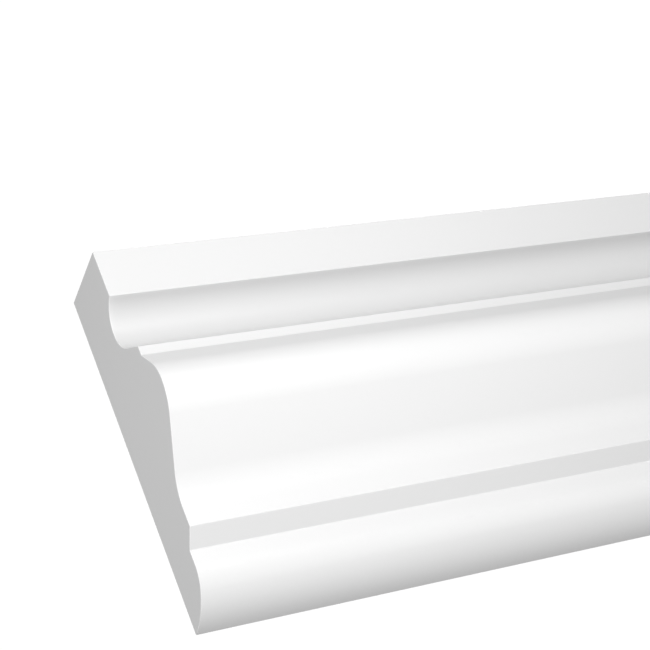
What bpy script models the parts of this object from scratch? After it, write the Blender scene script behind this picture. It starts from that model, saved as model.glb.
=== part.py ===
"""Panel moulding: one straight length of flat-backed wall moulding, square cut at both ends.

The back lies on the wall, in the plane Y = 0, and the face stands out towards -Y. The length
runs along X, the plain thick edge is at the top (+Z) and the bead at the bottom (-Z). The
origin is the middle of the back. Sizes are in metres and slopes in degrees.

The section is drawn member by member from the top of the back, each by its own width across
the wall and its own rise or drop, so the members after it move along when one is changed.
"""

import math

import bpy

LENGTH = 1.000

# Plain edge: the thick upper border, square to the wall.
EDGE_PROJECTION = 0.0202
EDGE_WIDTH = 0.0128

# Hollow: a steep bevel that turns into a cove and climbs again to the fillet.
HOLLOW_DROP = 0.0051
HOLLOW_DROP_SLOPE = 62.0
HOLLOW_DROP_RADIUS = 0.0078
HOLLOW_RISE = 0.0096
HOLLOW_RISE_SLOPE = 59.0
HOLLOW_RISE_RADIUS = 0.0073

# Fillet: the narrow flat between the hollow and the swell.
FILLET_WIDTH = 0.0025

# Swell: the wave that climbs to the crown and runs down to the level, on flanks of one slope.
FLANK_SLOPE = 38.5
CROWN_RISE = 0.0053
CROWN_UPPER_RADIUS = 0.0090
CROWN_FALL = 0.0132
CROWN_LOWER_RADIUS = 0.0125
FOOT_RADIUS = 0.0128

# Level and step: the flat under the swell and the straight bevel below it.
LEVEL_WIDTH = 0.0043
STEP_WIDTH = 0.0036
STEP_DROP = 0.0044

# Bead: a short flat, a tighter shoulder and a wide round that comes down to the wall.
BEAD_FLAT_WIDTH = 0.0034
SHOULDER_RADIUS = 0.0084
SHOULDER_TURN = 43.0
ROUND_RADIUS = 0.0170

# Each arc is drawn in equal chords that turn by no more than this.
CHORD_TURN = 3.0
SHORTEST_CHORD = 0.000001

PRIMER_WHITE = (0.80, 0.80, 0.80, 1.0)
PRIMER_ROUGHNESS = 0.5


class Section:
    """A pen that draws the section: across the wall from the top, and out from the wall."""

    def __init__(self):
        self.across = 0.0
        self.out = 0.0
        self.points = [(0.0, 0.0)]

    def line(self, across, out):
        """Draws a straight run by these steps."""
        self.across += across
        self.out += out
        if math.hypot(across, out) > SHORTEST_CHORD:
            self.points.append((self.across, self.out))

    def arc(self, radius, start, end):
        """Draws an arc that turns from one slope to another. A rising slope is positive."""
        side = math.copysign(radius, end - start)
        chords = math.ceil(abs(end - start) / math.radians(CHORD_TURN))
        for i in range(chords):
            here = start + (end - start) * i / chords
            there = start + (end - start) * (i + 1) / chords
            across = side * (math.sin(there) - math.sin(here))
            out = side * (math.cos(here) - math.cos(there))
            self.line(across, out)


def ease(height, radius, steepest):
    """Finds how far arcs of this radius turn within a height, and the straight height left."""
    turn = min(math.radians(steepest), math.acos(max(-1.0, 1.0 - height / radius)))
    straight = height - radius * (1.0 - math.cos(turn))
    return turn, straight


def draw_plain_edge(pen):
    pen.line(0.0, EDGE_PROJECTION)
    pen.line(EDGE_WIDTH, 0.0)


def draw_hollow(pen):
    turn, straight = ease(HOLLOW_DROP, HOLLOW_DROP_RADIUS, HOLLOW_DROP_SLOPE)
    pen.line(straight / math.tan(turn), -straight)
    pen.arc(HOLLOW_DROP_RADIUS, -turn, 0.0)
    turn, straight = ease(HOLLOW_RISE, HOLLOW_RISE_RADIUS, HOLLOW_RISE_SLOPE)
    pen.arc(HOLLOW_RISE_RADIUS, 0.0, turn)
    pen.line(straight / math.tan(turn), straight)


def draw_swell(pen):
    turn, straight = ease(CROWN_RISE, CROWN_UPPER_RADIUS, FLANK_SLOPE)
    pen.line(straight / math.tan(turn), straight)
    pen.arc(CROWN_UPPER_RADIUS, turn, 0.0)
    turn, straight = ease(CROWN_FALL, CROWN_LOWER_RADIUS + FOOT_RADIUS, FLANK_SLOPE)
    pen.arc(CROWN_LOWER_RADIUS, 0.0, -turn)
    pen.line(straight / math.tan(turn), -straight)
    pen.arc(FOOT_RADIUS, -turn, 0.0)


def draw_bead(pen):
    pen.line(BEAD_FLAT_WIDTH, 0.0)
    turn, left = ease(pen.out, SHOULDER_RADIUS, SHOULDER_TURN)
    pen.arc(SHOULDER_RADIUS, 0.0, -turn)
    # The round stops at the wall, or square to it and then drops straight.
    square = math.acos(max(0.0, math.cos(turn) - left / ROUND_RADIUS))
    pen.arc(ROUND_RADIUS, -turn, -square)
    pen.line(0.0, -pen.out)


def section_outline():
    """Draws all the members in order and gives the corners of the section."""
    pen = Section()
    draw_plain_edge(pen)
    draw_hollow(pen)
    pen.line(FILLET_WIDTH, 0.0)
    draw_swell(pen)
    pen.line(LEVEL_WIDTH, 0.0)
    pen.line(STEP_WIDTH, -STEP_DROP)
    draw_bead(pen)
    return pen.points


def white_primer():
    material = bpy.data.materials.new("white_primer")
    material.use_nodes = True
    shader = material.node_tree.nodes["Principled BSDF"]
    shader.inputs["Base Color"].default_value = PRIMER_WHITE
    shader.inputs["Roughness"].default_value = PRIMER_ROUGHNESS
    shader.inputs["Metallic"].default_value = 0.0
    return material


def add_moulding(collection):
    """Runs the section along X, as a filled flat curve stood upright against the wall."""
    outline = section_outline()
    half_width = outline[-1][0] / 2.0
    curve = bpy.data.curves.new("panel_moulding", "CURVE")
    curve.dimensions = "2D"
    curve.fill_mode = "BOTH"
    curve.extrude = LENGTH / 2.0
    spline = curve.splines.new("POLY")
    spline.points.add(len(outline) - 1)
    for point, (across, out) in zip(spline.points, outline):
        point.co = (-out, half_width - across, 0.0, 1.0)
    spline.use_cyclic_u = True
    curve.materials.append(white_primer())
    moulding = bpy.data.objects.new("panel_moulding", curve)
    moulding.rotation_euler = (math.radians(90.0), 0.0, math.radians(90.0))
    collection.objects.link(moulding)


for leftover in list(bpy.data.objects):
    bpy.data.objects.remove(leftover)

parts = bpy.data.collections.new("Panel moulding")
bpy.context.scene.collection.children.link(parts)
add_moulding(parts)
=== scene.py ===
"""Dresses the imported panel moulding: its fine mesh, its primer, a floor, lights and a camera."""

import math

import bpy
from mathutils import Matrix, Vector


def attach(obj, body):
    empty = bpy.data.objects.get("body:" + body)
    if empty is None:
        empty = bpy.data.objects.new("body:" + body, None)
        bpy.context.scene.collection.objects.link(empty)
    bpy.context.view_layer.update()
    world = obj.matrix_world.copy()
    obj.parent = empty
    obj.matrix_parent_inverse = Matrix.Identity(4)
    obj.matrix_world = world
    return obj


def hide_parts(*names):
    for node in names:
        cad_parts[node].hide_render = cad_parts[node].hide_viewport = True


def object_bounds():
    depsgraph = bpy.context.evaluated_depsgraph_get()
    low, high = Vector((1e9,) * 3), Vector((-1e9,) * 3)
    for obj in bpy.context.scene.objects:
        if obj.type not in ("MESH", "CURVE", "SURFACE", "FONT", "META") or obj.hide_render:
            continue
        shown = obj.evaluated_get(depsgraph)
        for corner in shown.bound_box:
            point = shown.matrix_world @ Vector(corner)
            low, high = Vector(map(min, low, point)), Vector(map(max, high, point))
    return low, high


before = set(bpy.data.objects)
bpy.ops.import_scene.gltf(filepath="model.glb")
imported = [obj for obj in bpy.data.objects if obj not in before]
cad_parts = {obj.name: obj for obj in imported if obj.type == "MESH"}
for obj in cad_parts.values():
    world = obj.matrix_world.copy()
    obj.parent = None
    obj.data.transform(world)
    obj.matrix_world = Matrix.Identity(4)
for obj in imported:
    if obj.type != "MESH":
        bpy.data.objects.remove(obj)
cad_low, cad_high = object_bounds()

# The moulding: one length of hard white foam, moulded in a single piece and primed white.
# A wet saw cuts it square at both ends. It is glued and pinned to the wall by its flat back.
EDGE_PROJECTION = 0.0202
EDGE_WIDTH = 0.0128
HOLLOW_DROP = 0.0051
HOLLOW_DROP_SLOPE = 62.0
HOLLOW_DROP_RADIUS = 0.0078
HOLLOW_RISE = 0.0096
HOLLOW_RISE_SLOPE = 59.0
HOLLOW_RISE_RADIUS = 0.0073
FILLET_WIDTH = 0.0025
FLANK_SLOPE = 38.5
CROWN_RISE = 0.0053
CROWN_UPPER_RADIUS = 0.0090
CROWN_FALL = 0.0132
CROWN_LOWER_RADIUS = 0.0125
FOOT_RADIUS = 0.0128
LEVEL_WIDTH = 0.0043
STEP_WIDTH = 0.0036
STEP_DROP = 0.0044
BEAD_FLAT_WIDTH = 0.0034
SHOULDER_RADIUS = 0.0084
SHOULDER_TURN = 43.0
ROUND_RADIUS = 0.0170
CHORD_TURN = 1.5
SHORTEST_CHORD = 0.000001
RING_SPACING = 0.020
ARRIS_WIDTH = 0.00018
ARRIS_STEPS = 3
ARRIS_ANGLE = 15.0


class Section:
    """A pen that draws the cut section: across the wall from the top, and out from the wall."""

    def __init__(self):
        self.across = 0.0
        self.out = 0.0
        self.points = [(0.0, 0.0)]

    def line(self, across, out):
        """Draws a straight run by these steps."""
        self.across += across
        self.out += out
        if math.hypot(across, out) > SHORTEST_CHORD:
            self.points.append((self.across, self.out))

    def arc(self, radius, start, end):
        """Draws an arc that turns from one slope to another. A rising slope is positive."""
        side = math.copysign(radius, end - start)
        chords = math.ceil(abs(end - start) / math.radians(CHORD_TURN))
        for i in range(chords):
            here = start + (end - start) * i / chords
            there = start + (end - start) * (i + 1) / chords
            across = side * (math.sin(there) - math.sin(here))
            out = side * (math.cos(here) - math.cos(there))
            self.line(across, out)


def ease(height, radius, steepest):
    """Finds how far arcs of this radius turn within a height, and the straight height left."""
    turn = min(math.radians(steepest), math.acos(max(-1.0, 1.0 - height / radius)))
    straight = height - radius * (1.0 - math.cos(turn))
    return turn, straight


def section_outline():
    """Draws the members from the plain top edge down to the bead, and gives their corners."""
    pen = Section()
    pen.line(0.0, EDGE_PROJECTION)
    pen.line(EDGE_WIDTH, 0.0)
    turn, straight = ease(HOLLOW_DROP, HOLLOW_DROP_RADIUS, HOLLOW_DROP_SLOPE)
    pen.line(straight / math.tan(turn), -straight)
    pen.arc(HOLLOW_DROP_RADIUS, -turn, 0.0)
    turn, straight = ease(HOLLOW_RISE, HOLLOW_RISE_RADIUS, HOLLOW_RISE_SLOPE)
    pen.arc(HOLLOW_RISE_RADIUS, 0.0, turn)
    pen.line(straight / math.tan(turn), straight)
    pen.line(FILLET_WIDTH, 0.0)
    turn, straight = ease(CROWN_RISE, CROWN_UPPER_RADIUS, FLANK_SLOPE)
    pen.line(straight / math.tan(turn), straight)
    pen.arc(CROWN_UPPER_RADIUS, turn, 0.0)
    turn, straight = ease(CROWN_FALL, CROWN_LOWER_RADIUS + FOOT_RADIUS, FLANK_SLOPE)
    pen.arc(CROWN_LOWER_RADIUS, 0.0, -turn)
    pen.line(straight / math.tan(turn), -straight)
    pen.arc(FOOT_RADIUS, -turn, 0.0)
    pen.line(LEVEL_WIDTH, 0.0)
    pen.line(STEP_WIDTH, -STEP_DROP)
    pen.line(BEAD_FLAT_WIDTH, 0.0)
    turn, left = ease(pen.out, SHOULDER_RADIUS, SHOULDER_TURN)
    pen.arc(SHOULDER_RADIUS, 0.0, -turn)
    pen.arc(ROUND_RADIUS, -turn, -math.acos(max(0.0, math.cos(turn) - left / ROUND_RADIUS)))
    return pen.points


class Link:
    """A node's socket. A sum written with it adds the Math node that works it out."""

    def __init__(self, tree, socket=None):
        self.tree = tree
        self.socket = socket

    def node(self, kind, settings, inputs, output=0):
        """Adds a node: its settings first, then the values or links of its sockets."""
        node = self.tree.nodes.new(kind)
        for name, value in settings.items():
            setattr(node, name, value)
        for name, value in inputs.items():
            if isinstance(value, Link):
                self.tree.links.new(value.socket, node.inputs[name])
            else:
                node.inputs[name].default_value = value
        return Link(self.tree, node.outputs[output])

    def other(self, output):
        """Gives another output of the node that this socket is on."""
        return Link(self.tree, self.socket.node.outputs[output])

    def math(self, operation, first, second):
        """Adds the Math node for one step of a sum."""
        return self.node("ShaderNodeMath", {"operation": operation}, {0: first, 1: second})

    def __add__(self, other):
        return self.math("ADD", self, other)

    __radd__ = __add__

    def __sub__(self, other):
        return self.math("SUBTRACT", self, other)

    def __rsub__(self, other):
        return self.math("SUBTRACT", other, self)

    def __mul__(self, other):
        return self.math("MULTIPLY", self, other)

    __rmul__ = __mul__

    def __gt__(self, other):
        return self.math("GREATER_THAN", self, other)


def length_tree():
    """Builds the nodes that run a flat outline along X and close it at both ends."""
    tree = bpy.data.node_groups.new("moulding_length", "GeometryNodeTree")
    sockets = (
        ("Section", "INPUT", "NodeSocketGeometry"),
        ("Length", "INPUT", "NodeSocketFloat"),
        ("Ring Spacing", "INPUT", "NodeSocketFloat"),
        ("Finish", "INPUT", "NodeSocketMaterial"),
        ("Moulding", "OUTPUT", "NodeSocketGeometry"),
    )
    for name, side, kind in sockets:
        tree.interface.new_socket(name, in_out=side, socket_type=kind)
    link = Link(tree)
    section = link.node("NodeGroupInput", {}, {}, "Section")
    half = 0.5 * section.other("Length")
    spacing = section.other("Ring Spacing")
    near = link.node("ShaderNodeCombineXYZ", {}, {"X": 0.0 - half})
    far = link.node("ShaderNodeCombineXYZ", {}, {"X": half})
    axis = link.node("GeometryNodeCurvePrimitiveLine", {}, {"Start": near, "End": far})
    ring_inputs = {"Curve": axis, "Length": spacing}
    rings = link.node("GeometryNodeResampleCurve", {"mode": "LENGTH"}, ring_inputs)
    run_inputs = {"Curve": rings, "Profile Curve": section, "Fill Caps": True}
    run = link.node("GeometryNodeCurveToMesh", {}, run_inputs)
    smooth = link.node("GeometryNodeSetShadeSmooth", {}, {"Geometry": run})
    whole = link.node("GeometryNodeRealizeInstances", {}, {"Geometry": smooth})
    finish = {"Geometry": whole, "Material": section.other("Finish")}
    finished = link.node("GeometryNodeSetMaterial", {}, finish)
    tree.links.new(finished.socket, tree.nodes.new("NodeGroupOutput").inputs["Moulding"])
    return tree


# The primer's scales are features a metre, and its heights are metres.
PRIMER_DARK = (0.794, 0.794, 0.794, 1.0)
PRIMER_LIGHT = (0.806, 0.806, 0.806, 1.0)
PRIMER_ROUGHNESS = 0.46
SAWN_ROUGHNESS = 0.78
ROUGHNESS_SPREAD = 0.08
SAWN_DEPTH = 0.00006
PEEL_SCALE = 650.0
PEEL_HEIGHT = 0.000010
GRAIN_SCALE = 3200.0
GRAIN_HEIGHT = 0.000002
SAWN_GRAIN_HEIGHT = 0.000006
CLOUD_SCALE = 14.0
DRAG_SCALE = (7.0, 900.0, 900.0)
DRAG_HEIGHT = 0.000004
SCORE_SCALE = (0.0, 3000.0, 160.0)
SCORE_HEIGHT = 0.000012


def noise(link, place, scale, detail):
    """Gives soft noise about zero, with this many features a metre."""
    inputs = {"Vector": place, "Scale": scale, "Detail": detail}
    return link.node("ShaderNodeTexNoise", {}, inputs) - 0.5


def stretched(link, place, scale):
    """Scales each axis of the place, so that a pattern runs along one of them."""
    return link.node("ShaderNodeVectorMath", {"operation": "MULTIPLY"}, {0: place, 1: scale})


def white_primer(half_length):
    """Makes the satin primer, with a faint orange peel, and the bare, finely scored saw cuts."""
    material = bpy.data.materials.new("white_primer")
    material.use_nodes = True
    tree = material.node_tree
    link = Link(tree)
    place = link.node("ShaderNodeTexCoord", {}, {}, "Object")
    along = link.node("ShaderNodeSeparateXYZ", {}, {"Vector": place}, "X")
    sawn = along * along > (half_length - SAWN_DEPTH) ** 2
    peel = noise(link, place, PEEL_SCALE, detail=2.0)
    grain = noise(link, place, GRAIN_SCALE, detail=1.0)
    cloud = noise(link, place, CLOUD_SCALE, detail=2.0)
    drag = noise(link, stretched(link, place, DRAG_SCALE), scale=1.0, detail=1.0)
    score = noise(link, stretched(link, place, SCORE_SCALE), scale=1.0, detail=1.0)
    shade = 0.5 + cloud + 0.5 * peel * (1.0 - sawn) + score * sawn
    primer_height = PEEL_HEIGHT * peel + GRAIN_HEIGHT * grain + DRAG_HEIGHT * drag
    sawn_height = SCORE_HEIGHT * score + SAWN_GRAIN_HEIGHT * grain
    height = primer_height * (1.0 - sawn) + sawn_height * sawn
    drier = (SAWN_ROUGHNESS - PRIMER_ROUGHNESS) * sawn
    roughness = PRIMER_ROUGHNESS + ROUGHNESS_SPREAD * (cloud + peel) + drier
    color_inputs = {0: shade, 6: PRIMER_DARK, 7: PRIMER_LIGHT}
    color = link.node("ShaderNodeMix", {"data_type": "RGBA"}, color_inputs, 2)
    bump = link.node("ShaderNodeBump", {}, {"Height": height, "Distance": 1.0}, "Normal")
    shader = tree.nodes["Principled BSDF"]
    tree.links.new(color.socket, shader.inputs["Base Color"])
    tree.links.new(roughness.socket, shader.inputs["Roughness"])
    tree.links.new(bump.socket, shader.inputs["Normal"])
    return material


length = cad_high.x - cad_low.x
section_curve = bpy.data.curves.new("moulding_section", "CURVE")
section_curve.dimensions = "3D"
outline = section_outline()
spline = section_curve.splines.new("POLY")
spline.points.add(len(outline) - 1)
for point, (across, out) in zip(spline.points, outline):
    point.co = (out - cad_high.y, across - cad_high.z, 0.0, 1.0)
spline.use_cyclic_u = True
section_object = bpy.data.objects.new("moulding_section", section_curve)
bpy.context.scene.collection.objects.link(section_object)

sweep = section_object.modifiers.new("length", "NODES")
sweep.node_group = length_tree()
given = {"Length": length, "Ring Spacing": RING_SPACING, "Finish": white_primer(length / 2.0)}
for socket in sweep.node_group.interface.items_tree:
    if socket.name in given:
        sweep[socket.identifier] = given[socket.name]
depsgraph = bpy.context.evaluated_depsgraph_get()
run_mesh = bpy.data.meshes.new_from_object(section_object.evaluated_get(depsgraph))
bpy.data.objects.remove(section_object)

moulding = bpy.data.objects.new("primed_moulding", run_mesh)
bpy.context.scene.collection.objects.link(moulding)
arris = moulding.modifiers.new("arris", "BEVEL")
arris.width = ARRIS_WIDTH
arris.segments = ARRIS_STEPS
arris.limit_method = "ANGLE"
arris.angle_limit = math.radians(ARRIS_ANGLE)
arris.harden_normals = True
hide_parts("panel_moulding")
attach(moulding, "root")

# The floor: plain pale ground, at the foot of the wall that such a moulding is fixed to.
# It is no part of the object.
FLOOR_DROP = 0.90
FLOOR_SIZE = 400.0
FLOOR_TONE = 0.55
FLOOR_ROUGHNESS = 0.9
bpy.ops.mesh.primitive_plane_add(size=FLOOR_SIZE, location=(0.0, 0.0, cad_low.z - FLOOR_DROP))
floor = bpy.context.object
floor.name = "floor"
floor_paint = bpy.data.materials.new("floor_paint")
floor_paint.use_nodes = True
floor_shader = floor_paint.node_tree.nodes["Principled BSDF"]
floor_shader.inputs["Base Color"].default_value = (FLOOR_TONE, FLOOR_TONE, FLOOR_TONE, 1.0)
floor_shader.inputs["Roughness"].default_value = FLOOR_ROUGHNESS
floor.data.materials.append(floor_paint)

# The studio: a white ground all round, which the camera sees as pure white. It lights the
# moulding with a weaker, even fill.
GROUND_WHITE = 1.04
GROUND_FILL = 0.22
world = bpy.data.worlds.new("studio")
bpy.context.scene.world = world
world.use_nodes = True
link = Link(world.node_tree)
seen = link.node("ShaderNodeLightPath", {}, {}, "Is Camera Ray")
world_shader = world.node_tree.nodes["Background"]
world_shader.inputs["Color"].default_value = (1.0, 1.0, 1.0, 1.0)
strength = GROUND_FILL + (GROUND_WHITE - GROUND_FILL) * seen
world.node_tree.links.new(strength.socket, world_shader.inputs["Strength"])
bpy.context.scene.view_settings.view_transform = "Standard"

# The camera: a long lens below and to the left of the near end, looking up along the face.
# Its angles are in degrees, and it aims at a point that is given from the near end's top edge.
LENS = 99.74
HEADING = 32.09
LIFT = 27.85
ROLL = -24.06
AIM_ALONG = 0.0523
AIM_OUT = 0.0165
AIM_DOWN = 0.0261
VIEW_DISTANCE = 0.4331
view = bpy.data.objects.new("camera", bpy.data.cameras.new("camera"))
view.data.lens = LENS
view.data.clip_start = 0.01
bpy.context.scene.collection.objects.link(view)
bpy.context.scene.camera = view
turn = Matrix.Rotation(math.radians(-HEADING), 3, "Z")
tilt = Matrix.Rotation(math.radians(90.0 + LIFT), 3, "X")
roll = Matrix.Rotation(math.radians(ROLL), 3, "Z")
facing = turn @ tilt @ roll
aim = Vector((cad_low.x + AIM_ALONG, cad_high.y - AIM_OUT, cad_high.z - AIM_DOWN))
view.matrix_world = Matrix.Translation(aim + VIEW_DISTANCE * facing.col[2]) @ facing.to_4x4()

# The soft boxes: five square lamps round the cut end, and a long strip that lights the rest of
# the face. The camera doesn't see them.
NEAR_IN = 0.07
NEAR_OUT = 0.015
BOX_SHARE = 0.3
STRIP_IN = 0.18
STRIP_REACH = Vector((0.0, -0.60, 0.12))
STRIP_LENGTH = 0.66
STRIP_WIDTH = 0.20


def soft_box(name, place, target, width, height, watts, spread=180.0):
    """Hangs a flat lamp at a place and turns it to face a target. A grid narrows its spread."""
    lamp = bpy.data.objects.new(name, bpy.data.lights.new(name, "AREA"))
    lamp.data.shape = "RECTANGLE"
    lamp.data.size = width
    lamp.data.size_y = height
    lamp.data.energy = watts
    lamp.data.spread = math.radians(spread)
    lamp.visible_camera = False
    facing = (place - target).to_track_quat("Z", "Y").to_matrix().to_4x4()
    lamp.matrix_world = Matrix.Translation(place) @ facing
    bpy.context.scene.collection.objects.link(lamp)


def near_box(name, lift, side, reach, watts):
    """Hangs a lamp off the cut end, lifted up the wall and turned past the end, in degrees."""
    target = Vector((cad_low.x + NEAR_IN, cad_high.y - NEAR_OUT, 0.0))
    up, past = math.radians(lift), math.radians(side)
    along = Vector((-math.cos(up) * math.sin(past), -math.cos(up) * math.cos(past), math.sin(up)))
    soft_box(name, target + reach * along, target, BOX_SHARE * reach, BOX_SHARE * reach, watts)


near_box("key", lift=10.0, side=0.0, reach=0.55, watts=1.34)
near_box("near_fill", lift=0.0, side=20.0, reach=0.28, watts=0.315)
near_box("end_fill", lift=0.0, side=90.0, reach=0.35, watts=0.322)
near_box("low_fill", lift=-50.0, side=0.0, reach=0.55, watts=0.317)
near_box("under_fill", lift=-70.0, side=20.0, reach=0.55, watts=0.733)
far_middle = Vector((STRIP_IN, 0.0, 0.0))
strip_place = far_middle + STRIP_REACH
soft_box("far_strip", strip_place, far_middle, STRIP_LENGTH, STRIP_WIDTH, watts=0.40, spread=45.0)


# The skylights: two broad, soft lights from above and behind the wall's plane. They light the
# floor, the top edge, the back and the far end, and leave the face to the boxes.
SKYLIGHT_WIDTH = 30.0


def skylight(name, source, strength):
    """Hangs a broad light far away in a direction, given in watts a square metre."""
    lamp = bpy.data.objects.new(name, bpy.data.lights.new(name, "SUN"))
    lamp.data.energy = strength
    lamp.data.angle = math.radians(SKYLIGHT_WIDTH)
    lamp.matrix_world = source.to_track_quat("Z", "Y").to_matrix().to_4x4()
    bpy.context.scene.collection.objects.link(lamp)


skylight("high_skylight", source=Vector((0.42, 0.65, 0.62)), strength=1.8)
skylight("back_skylight", source=Vector((0.75, 0.62, 0.20)), strength=1.3)

# The photo's hollow and underside stay dark, so no face passes its light on to another.
for surface in (moulding, floor):
    surface.visible_diffuse = False
